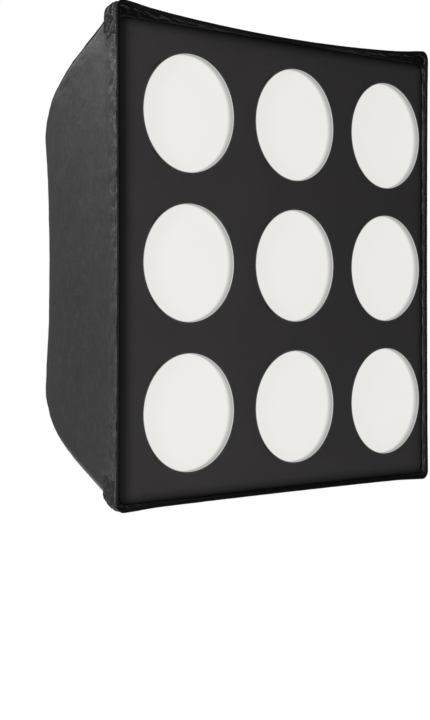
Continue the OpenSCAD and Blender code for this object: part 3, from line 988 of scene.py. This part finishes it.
class SOFTBOX_OT_rear_collar(bpy.types.Operator):
    """Gathers the rear collar round the speed ring on its elastic"""

    bl_idname = "softbox.rear_collar"
    bl_label = "Rear collar"

    def execute(self, context):
        shape = shape_of(context)
        low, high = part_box("collar_elastic")
        hole_r = (high.x - low.x) / 2 + 0.0006
        hole_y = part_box("rear_collar")[1].y

        def place(u, v):
            turn = min(4 * u, 3.999999) if u < 1 else 0.0
            start = shape.skin(int(turn) % 4, 2 * (turn - int(turn)) - 1, 1.0)
            a = math.atan2(start.z, start.x)
            end = Vector((hole_r * math.cos(a), hole_y, hole_r * math.sin(a)))
            out = 0.0030 * math.sin(math.pi * v)
            return start.lerp(end, v) + Vector((0, out, 0))

        def lift(u, v):
            pull = v * smooth(1.0, 0.96, v)
            return 0.0013 * pull * math.sin(math.tau * 46 * u + 1.4 * math.sin(math.tau * 5 * u)) + (
                0.0010 * smooth(0, 0.2, v) * ripple(u * 30, v * 4, 3.1, 3) * smooth(1, 0.9, v)
            )

        bm = close_ring(cloth_grid(460, 24, place, (0.62, 0.05), lift))
        piece = finish_piece(
            "cloth_rear_collar", bm, finish_for(context, "shell"), "box", ["rear_collar"]
        )
        thicken(piece, 0.0009)

        centre_y = hole_y - 0.0012

        def cord(u, v):
            a, b = math.tau * u, math.tau * v
            r = hole_r - 0.0008 + 0.0021 * math.cos(b) * (1 + 0.10 * math.sin(46 * a))
            return Vector((r * math.cos(a), centre_y + 0.0021 * math.sin(b), r * math.sin(a)))

        bm = close_ring(cloth_grid(460, 10, cord, (0.43, 0.013)))
        bmesh.ops.recalc_face_normals(bm, faces=bm.faces)
        finish_piece(
            "gathered_elastic", bm, finish_for(context, "webbing"), "box", ["collar_elastic"]
        )
        return {"FINISHED"}


def flat_sheet(shape, s, inset, columns, rows, lift):
    """A plane sheet that fills the straight outline, its face towards -Y."""
    hw, hh, middle = shape.straight_box(s, inset)
    radius = max(0.002, shape.corner - inset)

    def place(u, v):
        x, z = (2 * u - 1) * hw, (2 * v - 1) * hh
        over_x, over_z = abs(x) - (hw - radius), abs(z) - (hh - radius)
        if over_x > 0 and over_z > 0:
            far = max(over_x, over_z)
            shrink = far / math.hypot(over_x, over_z)
            x = math.copysign(hw - radius + over_x * shrink, x)
            z = math.copysign(hh - radius + over_z * shrink, z)
        return Vector((x, FRONT_Y + s, z + middle))

    return cloth_grid(columns, rows, place, (2 * hw, 2 * hh), lift)


def bow_of(context):
    """A function of x and z: how far the stretched front sheets stand out there."""
    sizes = context.scene.softbox_mask
    hw, hh, middle = shape_of(context).straight_box(sizes.mask_depth, 0)
    bow = sizes.bow

    def stand_out(x, z):
        across = math.cos(min(1, abs(x) / hw) * math.pi / 2) ** 2
        return bow * across * smooth(0.004, 0.06, hh - abs(z - middle))

    return stand_out


def hem_ring(shape, s, end, inset):
    """The hem sewn behind a front sheet whose face is at s, back to an end."""
    s, inset = s + 0.0008, inset + 0.0003
    profile = [(s, inset, 1), (s + 0.001, inset, 1), ((s + end) / 2, inset - 0.0001, 1), (end, inset, 1)]
    return edge_ring(shape, profile, 420, 8, flip=False)


class SOFTBOX_OT_diffusers(bpy.types.Operator):
    """Hangs the front diffuser and the inner baffle"""

    bl_idname = "softbox.diffusers"
    bl_label = "Diffusers"

    hem_end = 0.030
    baffle_inset = 0.034

    def execute(self, context):
        shape = shape_of(context)
        sizes = context.scene.softbox_mask
        s, inset = sizes.diffuser_depth, sizes.inset
        hw, hh, middle = shape.straight_box(s, inset)
        stand_out = bow_of(context)

        def slack(u, v):
            calm = smooth(0, 0.08, u) * smooth(1, 0.92, u) * smooth(0, 0.08, v) * smooth(1, 0.92, v)
            return -0.0010 * calm * (1.0 + ripple(u * 3, v * 3, 6.6, 3))

        def pressed_out(u, v):
            return slack(u, v) + stand_out((2 * u - 1) * hw, middle + (2 * v - 1) * hh)

        bm = flat_sheet(shape, s, inset, 120, 120, pressed_out)
        piece = finish_piece(
            "cloth_front_diffuser", bm, finish_for(context, "diffuser"), "front_diffuser",
            ["front_diffuser"],
        )
        thicken(piece, DIFFUSER_THICK)
        hem = finish_piece(
            "sewn_diffuser_hem", hem_ring(shape, s, self.hem_end, inset),
            finish_for(context, "baffle"), "front_diffuser", ["diffuser_hem"],
        )
        thicken(hem, HEM_THICK)
        2 * hw
        2 * hh

        bm = flat_sheet(shape, sizes.baffle_depth, self.baffle_inset, 60, 60, slack)
        piece = finish_piece(
            "cloth_inner_baffle", bm, finish_for(context, "baffle"), "box", ["inner_baffle"]
        )
        thicken(piece, DIFFUSER_THICK)
        hw, hh, _ = shape.straight_box(sizes.baffle_depth, self.baffle_inset)
        2 * hw
        2 * hh
        return {"FINISHED"}


def window_centres(sizes):
    for i in (-1, 0, 1):
        for j in (-1, 0, 1):
            yield sizes.centre[0] + sizes.pitch * i, sizes.centre[1] + sizes.pitch * j


def plane_block(bm, x0, x1, z0, z1, step):
    """A rectangle of quads, drawn in the XY plane."""
    columns = max(1, round((x1 - x0) / step))
    rows = max(1, round((z1 - z0) / step))
    grown = bmesh.ops.create_grid(bm, x_segments=columns, y_segments=rows, size=0.5)["verts"]
    size = Matrix.Diagonal((x1 - x0, z1 - z0, 1, 1))
    bmesh.ops.transform(
        bm, matrix=Matrix.Translation(((x0 + x1) / 2, (z0 + z1) / 2, 0)) @ size, verts=grown
    )


def window_block(bm, x, z, half, radius, per_side, rings):
    """A square of quads with a round hole, its outer edge in equal steps."""
    made = bmesh.ops.create_circle(bm, cap_ends=False, segments=4 * per_side, radius=radius)["verts"]
    bmesh.ops.translate(bm, verts=made, vec=(x, z, 0))
    edges = list({e for v in made for e in v.link_edges})
    grown = bmesh.ops.extrude_edge_only(bm, edges=edges)["geom"]
    outer = [g for g in grown if isinstance(g, bmesh.types.BMVert)]
    for vert in outer:
        a = (math.atan2(vert.co.y - z, vert.co.x - x) + math.pi / 4) % math.tau
        side, along = divmod(a / (math.pi / 2), 1)
        along = round(along * per_side) / per_side
        if along == 1:
            side, along = side + 1, 0
        across = half * (2 * along - 1)
        corner = ((half, across), (-across, half), (-half, -across), (across, -half))[int(side) % 4]
        vert.co = (x + corner[0], z + corner[1], 0)
    inner, outside = set(made), set(outer)
    spokes = [
        e for e in {e for v in made for e in v.link_edges}
        if (e.verts[0] in inner) != (e.verts[1] in inner)
    ]
    bmesh.ops.subdivide_edges(bm, edges=spokes, cuts=rings)
    return outside


class SOFTBOX_OT_front_mask(bpy.types.Operator):
    """Cuts the mask with its nine round windows and sews its hem"""

    bl_idname = "softbox.front_mask"
    bl_label = "Front mask"

    per_side = 28
    window_half = 0.1035
    rings = 5
    hem_end = 0.017

    def execute(self, context):
        shape = shape_of(context)
        sizes = context.scene.softbox_mask
        s = sizes.mask_depth
        stand_out = bow_of(context)
        hw, hh, middle = shape.straight_box(s, sizes.inset)
        step = 2 * self.window_half / self.per_side
        columns = [sizes.centre[0] + sizes.pitch * i for i in (-1, 0, 1)]
        rows = [sizes.centre[1] + sizes.pitch * j for j in (-1, 0, 1)]
        xs = [-hw] + [c + k * self.window_half for c in columns for k in (-1, 1)] + [hw]
        zs = [middle - hh] + [c + k * self.window_half for c in rows for k in (-1, 1)] + [middle + hh]
        bm = bmesh.new()
        for i in range(7):
            for j in range(7):
                if i % 2 and j % 2:
                    window_block(
                        bm, columns[i // 2], rows[j // 2], self.window_half, sizes.window_radius,
                        self.per_side, self.rings,
                    )
                else:
                    plane_block(bm, xs[i], xs[i + 1], zs[j], zs[j + 1], step)
        bmesh.ops.remove_doubles(bm, verts=bm.verts, dist=0.00005)
        bmesh.ops.recalc_face_normals(bm, faces=bm.faces)
        bm.normal_update()
        if sum(f.normal.z * f.calc_area() for f in bm.faces) < 0:
            bmesh.ops.reverse_faces(bm, faces=bm.faces)
        uv = bm.loops.layers.uv.new("cloth")
        for face in bm.faces:
            for loop in face.loops:
                loop[uv].uv = loop.vert.co.xy
        radius = 1.05 * shape.corner
        for vert in bm.verts:
            x, z = vert.co.x, vert.co.y
            near = min(math.hypot(x - cx, z - cz) for cx, cz in window_centres(sizes)) - sizes.window_radius
            over_x, over_z = abs(x) - (hw - radius), abs(z - middle) - (hh - radius)
            if over_x > 0 and over_z > 0:
                shrink = max(over_x, over_z) / math.hypot(over_x, over_z)
                vert.co.x = math.copysign(hw - radius + over_x * shrink, x)
                vert.co.y = middle + math.copysign(hh - radius + over_z * shrink, z - middle)
            border = min(hw - abs(x), hh - abs(z - middle))
            calm = smooth(0, 0.02, near) * smooth(0, 0.02, border)
            wave = 0.0008 * ripple(x * 6, z * 6, 8.2, 3) * calm
            corner = smooth(0.16, 0.0, math.hypot(hw - abs(x), hh - abs(z - middle)))
            wave += 0.0016 * corner * calm * ripple((x + z) * 26, (x - z) * 7, 2.2, 3)
            vert.co.z = wave + stand_out(x, z)
        bmesh.ops.rotate(bm, verts=bm.verts, cent=(0, 0, 0), matrix=Matrix.Rotation(math.pi / 2, 3, "X"))
        bmesh.ops.translate(bm, verts=bm.verts, vec=(0, FRONT_Y + s, 0))
        piece = finish_piece(
            "cloth_mask", bm, finish_for(context, "mask"), "front_mask",
            ["mask", "window_facings"],
        )
        thicken(piece, 0.0009)
        hem = finish_piece(
            "sewn_mask_hem", hem_ring(shape, s, self.hem_end, sizes.inset),
            finish_for(context, "mask"), "front_mask", ["mask_hem"],
        )
        thicken(hem, HEM_THICK)
        open_area = 9 * math.pi * sizes.window_radius**2
        2 * hw
        2 * hh
        4 * hw * hh - open_area
        return {"FINISHED"}


class SOFTBOX_OT_window_bindings(bpy.types.Operator):
    """Binds each window's edge and stitches it down"""

    bl_idname = "softbox.window_bindings"
    bl_label = "Window bindings"

    def execute(self, context):
        sizes = context.scene.softbox_mask
        stand_out = bow_of(context)
        front = FRONT_Y + sizes.mask_depth
        rear = FRONT_Y + sizes.diffuser_depth - 0.0006
        radius = sizes.window_radius
        rolled_edge = (
            (0.0012, 0.0010), (0.0010, -0.0001), (0.0004, -0.0004), (-0.0001, 0.0000), (-0.0003, 0.0010),
            (-0.0003, 0.0060),
        )
        section = [(radius + out, front + back) for out, back in rolled_edge]
        section += [(radius - 0.0001, rear), (radius + 0.0004, rear), (radius + 0.0004, front + 0.0018)]
        bm = bmesh.new()
        uv = bm.loops.layers.uv.new("cloth")
        points, ways, normals = [], [], []
        for x, z in window_centres(sizes):
            verts = [bm.verts.new((x + r, y, z)) for r, y in section]
            edges = [bm.edges.new((verts[i], verts[(i + 1) % len(verts)])) for i in range(len(verts))]
            bmesh.ops.spin(
                bm, geom=verts + edges, cent=(x, 0, z), axis=(0, 1, 0), angle=math.tau, steps=96,
                use_merge=True,
            )
            count = 150
            for i in range(count):
                a = math.tau * i / count
                out = Vector((math.cos(a), 0, math.sin(a)))
                point = Vector((x, front - 0.0002, z)) + out * (radius + 0.0032)
                point.y -= stand_out(point.x, point.z)
                points.append(point)
                ways.append(Vector((-math.sin(a), 0, math.cos(a))))
                normals.append(Vector((0, -1, 0)))
        bmesh.ops.remove_doubles(bm, verts=bm.verts, dist=FOLD_TOLERANCE)
        bmesh.ops.recalc_face_normals(bm, faces=bm.faces)
        for face in bm.faces:
            for loop in face.loops:
                loop[uv].uv = (loop.vert.co.x, loop.vert.co.y - front)
        for vert in bm.verts:
            vert.co.y -= stand_out(vert.co.x, vert.co.z)
        finish_piece(
            "window_tape", bm, finish_for(context, "window"), "front_mask", ["window_bindings"]
        )
        bm = stitches(points, ways, normals, length=0.0028, width=0.0007, height=0.0005)
        finish_piece(
            "window_stitching", bm, finish_for(context, "black_thread"), "front_mask",
            shade=False,
        )
        return {"FINISHED"}


class SOFTBOX_OT_rod_fittings(bpy.types.Operator):
    """Sews the rods' pockets and the baffle's clips"""

    bl_idname = "softbox.rod_fittings"
    bl_label = "Rod fittings"

    rod_tip_s = 0.048
    pocket = (0.0058, 0.0050, -0.022, 0.0048)
    clip = (0.0056, 0.0039, -0.006, 0.006)
    strap_width = 0.015
    strap_reach = 0.046

    def on_rod(self, shape, out, s):
        """A matrix whose Z runs forward along a rod, X across the box's corner."""
        t = shape.t_at(s, ROD_INSET)
        r, s = shape.layer(t, ROD_INSET)
        way = shape.way(t)
        forward = (-way.x * out + Vector((0, -way.y, 0))).normalized()
        across = out.cross(Vector((0, 1, 0))).normalized()
        third = forward.cross(across).normalized()
        turn = Matrix((across, third, forward)).transposed().to_4x4()
        return Matrix.Translation(out * r + Vector((0, FRONT_Y + s, 0))) @ turn

    def sleeve(self, outer, inner, low, high, cap):
        """A sewn sleeve with a rolled mouth, closed in front when cap is set."""
        bm = bmesh.new()
        bm.loops.layers.uv.new("cloth")
        section = [(inner, low), ((inner + outer) / 2, low - 0.0005), (outer, low), (outer, high)]
        section += [(outer * 0.7, high + 0.0012), (0, high + 0.0016)] if cap else [(inner, high)]
        verts = [bm.verts.new((r, 0, z)) for r, z in section]
        edges = [bm.edges.new((a, b)) for a, b in zip(verts, verts[1:])]
        if not cap:
            edges.append(bm.edges.new((verts[-1], verts[0])))
        bmesh.ops.spin(
            bm, geom=verts + edges, cent=(0, 0, 0), axis=(0, 0, 1), angle=math.tau, steps=40, use_merge=True
        )
        bmesh.ops.remove_doubles(bm, verts=bm.verts, dist=FOLD_TOLERANCE)
        return bm

    def execute(self, context):
        shape = shape_of(context)
        depth = context.scene.softbox_mask.baffle_depth
        for name, (sx, sz) in CORNERS.items():
            out = Vector((sx * shape.share[0], 0, sz * shape.share[1]))
            across = out.cross(Vector((0, 1, 0)))
            bm = self.sleeve(*self.pocket, cap=True)
            bmesh.ops.recalc_face_normals(bm, faces=bm.faces)
            bmesh.ops.transform(bm, matrix=self.on_rod(shape, out, self.rod_tip_s), verts=bm.verts)
            piece = finish_piece(
                f"sewn_pocket_{name}", bm, finish_for(context, "webbing"), "box",
                [f"rod_pocket_{name}"],
            )
            thicken(piece, 0.0006)

            bm = self.sleeve(*self.clip, cap=False)
            place = self.on_rod(shape, out, depth + 0.002)
            bmesh.ops.transform(bm, matrix=place, verts=bm.verts)
            start = Vector((place.translation.x, 0, place.translation.z))
            strap = bmesh.ops.create_grid(bm, x_segments=24, y_segments=8, size=0.5)["verts"]
            y = FRONT_Y + depth + 0.0014
            for vert in strap:
                u, v = vert.co.x + 0.5, vert.co.y
                width = self.strap_width * (1 - 0.25 * math.sin(math.pi * u))
                base = start - out * (0.0035 + self.strap_reach * u)
                vert.co = base + across * (v * width) + Vector((0, y + 0.0004 * math.sin(14 * u), 0))
            piece = finish_piece(
                f"sewn_clip_{name}", bm, finish_for(context, "webbing"), "box",
                [f"baffle_clip_{name}"],
            )
            thicken(piece, 0.0008, 0.0)
        return {"FINISHED"}


class SOFTBOX_OT_hardware(bpy.types.Operator):
    """Gives every metal, plastic and rubber part its finish"""

    bl_idname = "softbox.hardware"
    bl_label = "Hardware"

    def execute(self, context):
        finishes = {
            "insert_metal": coated_metal("insert_anodised", (0.035, 0.035, 0.038), 0.34),
            "ring_metal": coated_metal("ring_powder_coat", (0.022, 0.022, 0.024), 0.52),
            "aluminium": turned_metal("machined_aluminium", (0.62, 0.63, 0.65), 0.34),
            "steel": turned_metal("zinc_steel", (0.60, 0.60, 0.61), 0.30),
            "rod_steel": turned_metal("spring_steel", (0.42, 0.43, 0.45), 0.32, along="Y"),
            "white_plastic": moulded("washer_plastic", (0.78, 0.77, 0.73), 0.45),
            "black_plastic": moulded("knob_plastic", (0.016, 0.016, 0.018), 0.46),
            "rubber": moulded("tip_rubber", (0.018, 0.018, 0.018), 0.72),
            "brass": turned_metal("pad_brass", (0.72, 0.53, 0.25), 0.30),
        }
        slots = {entry["node"]: entry["material_slot"] for entry in frame["record"]["subparts"]}
        for name, part in CAD_NODES.items():
            made = finishes.get(slots.get(name))
            if made and not part.hide_render:
                part.data.materials.clear()
                part.data.materials.append(made)
        return {"FINISHED"}


# ---------------------------------------------------------------- stage


class StageSettings(bpy.types.PropertyGroup):
    """Camera and floor"""

    camera_place: bpy.props.FloatVectorProperty(
        name="Camera",
        description="Camera's place from the front edge's middle",
        default=(-1.9755, -1.9288, -0.0848),
        unit="LENGTH",
    )
    camera_turn: bpy.props.FloatProperty(
        name="Turn", description="Camera's turn to the right", default=math.radians(43.04), subtype="ANGLE"
    )
    lens: bpy.props.FloatProperty(name="Lens", description="Focal length in millimetres", default=78.65)
    shift: bpy.props.FloatProperty(name="Shift", description="Upward shift of the picture", default=-0.0704)
    floor_drop: bpy.props.FloatProperty(
        name="Floor", description="Floor's height", default=-0.95, unit="LENGTH"
    )


class SOFTBOX_OT_stage(bpy.types.Operator):
    """Sets the pale floor, the lights and the camera"""

    bl_idname = "softbox.stage"
    bl_label = "Stage"

    def lamp(self, name, place, aim, size, power, tint=(1, 1, 1)):
        data = bpy.data.lights.new(name, "AREA")
        data.shape = "RECTANGLE"
        data.size, data.size_y = size
        data.energy = power
        data.color = tint
        lamp = bpy.data.objects.new(name, data)
        lamp.location = place
        lamp.rotation_euler = (Vector(aim) - Vector(place)).to_track_quat("-Z", "Y").to_euler()
        bpy.context.scene.collection.objects.link(lamp)

    def execute(self, context):
        scene = context.scene
        settings = scene.softbox_stage
        scene.view_settings.view_transform = "Standard"
        scene.view_settings.look = "None"

        world = bpy.data.worlds.new("studio")
        world.use_nodes = True
        scene.world = world
        tree = world.node_tree
        tree.nodes.clear()
        seen = tree.nodes.new("ShaderNodeBackground")
        seen.inputs["Color"].default_value = (1, 1, 1, 1)
        seen.inputs["Strength"].default_value = 1.0
        lit = tree.nodes.new("ShaderNodeBackground")
        lit.inputs["Color"].default_value = (1, 1, 1, 1)
        lit.inputs["Strength"].default_value = 0.10
        ray = tree.nodes.new("ShaderNodeLightPath")
        mix = tree.nodes.new("ShaderNodeMixShader")
        out = tree.nodes.new("ShaderNodeOutputWorld")
        tree.links.new(ray.outputs["Is Camera Ray"], mix.inputs["Fac"])
        tree.links.new(lit.outputs[0], mix.inputs[1])
        tree.links.new(seen.outputs[0], mix.inputs[2])
        tree.links.new(mix.outputs[0], out.inputs["Surface"])

        f = Finish("pale_floor")
        cloudy = f.noise(f.object_place(), 1.5, 3)
        pale = f.blend(cloudy, (0.40, 0.40, 0.40), (0.42, 0.42, 0.42))
        floor_finish = f.surface(
            Base_Color=pale, Roughness=cloudy * 0.1 + 0.8,
            Emission_Color=(1, 1, 1, 1), Emission_Strength=0.86,
        )
        bm = bmesh.new()
        bmesh.ops.create_grid(bm, x_segments=8, y_segments=8, size=2.2)
        bmesh.ops.translate(bm, verts=bm.verts, vec=(0, 0, settings.floor_drop))
        mesh = bpy.data.meshes.new("floor")
        bm.to_mesh(mesh)
        bm.free()
        mesh.materials.append(floor_finish)
        floor = bpy.data.objects.new("floor", mesh)
        scene.collection.objects.link(floor)

        self.lamp("key", (-2.55, -1.30, 0.25), (0.1, -0.57, 0), (0.4, 1.5), 134)
        self.lamp("front", (-1.7, -3.0, 0.3), (-0.3, -0.5, 0), (0.9, 2.0), 35)
        self.lamp("top", (0.2, -0.9, 2.3), (0, -0.4, 0), (2.0, 1.0), 40)
        self.lamp("side", (2.6, 0.7, 0.6), (0.3, -0.1, 0), (1.2, 1.6), 120)
        self.lamp("back", (-1.3, 2.4, 1.6), (-0.2, -0.2, 0), (0.8, 0.8), 70)

        camera_data = bpy.data.cameras.new("camera")
        camera_data.lens = settings.lens
        camera_data.sensor_fit = "AUTO"
        camera_data.sensor_width = 36
        camera_data.shift_y = settings.shift
        camera_data.clip_end = 100
        camera = bpy.data.objects.new("camera", camera_data)
        place = Vector(settings.camera_place)
        camera.location = (place.x, FRONT_Y + place.y, place.z)
        camera.rotation_euler = (math.pi / 2, 0, -settings.camera_turn)
        scene.collection.objects.link(camera)
        scene.camera = camera
        return {"FINISHED"}


STEPS = (
    SOFTBOX_OT_outer_panels,
    SOFTBOX_OT_linings,
    SOFTBOX_OT_front_edge,
    SOFTBOX_OT_edge_stitching,
    SOFTBOX_OT_corner_patches,
    SOFTBOX_OT_rear_collar,
    SOFTBOX_OT_diffusers,
    SOFTBOX_OT_front_mask,
    SOFTBOX_OT_window_bindings,
    SOFTBOX_OT_rod_fittings,
    SOFTBOX_OT_hardware,
    SOFTBOX_OT_stage,
)


class SOFTBOX_PT_panel(bpy.types.Panel):
    """Lists the softbox's steps"""

    bl_idname = "SOFTBOX_PT_panel"
    bl_label = "Softbox"
    bl_space_type = "VIEW_3D"
    bl_region_type = "UI"
    bl_category = "Softbox"

    def draw(self, context):
        for group in ("softbox_sizes", "softbox_mask", "softbox_colours", "softbox_stage"):
            settings = getattr(context.scene, group)
            for key in type(settings).__annotations__:
                self.layout.prop(settings, key)
        for step in STEPS:
            self.layout.operator(step.bl_idname)


GROUPS = {
    "softbox_sizes": SoftboxSizes,
    "softbox_mask": MaskSizes,
    "softbox_colours": ClothColours,
    "softbox_stage": StageSettings,
}


def register():
    for name, group in GROUPS.items():
        bpy.utils.register_class(group)
        setattr(bpy.types.Scene, name, bpy.props.PointerProperty(type=group))
    for step in (*STEPS, SOFTBOX_PT_panel):
        bpy.utils.register_class(step)


def unregister():
    for step in reversed((*STEPS, SOFTBOX_PT_panel)):
        bpy.utils.unregister_class(step)
    for name, group in GROUPS.items():
        delattr(bpy.types.Scene, name)
        bpy.utils.unregister_class(group)


def main():
    register()
    for step in STEPS:
        family, name = step.bl_idname.split(".")
        getattr(getattr(bpy.ops, family), name)()


if __name__ == "__main__":
    main()
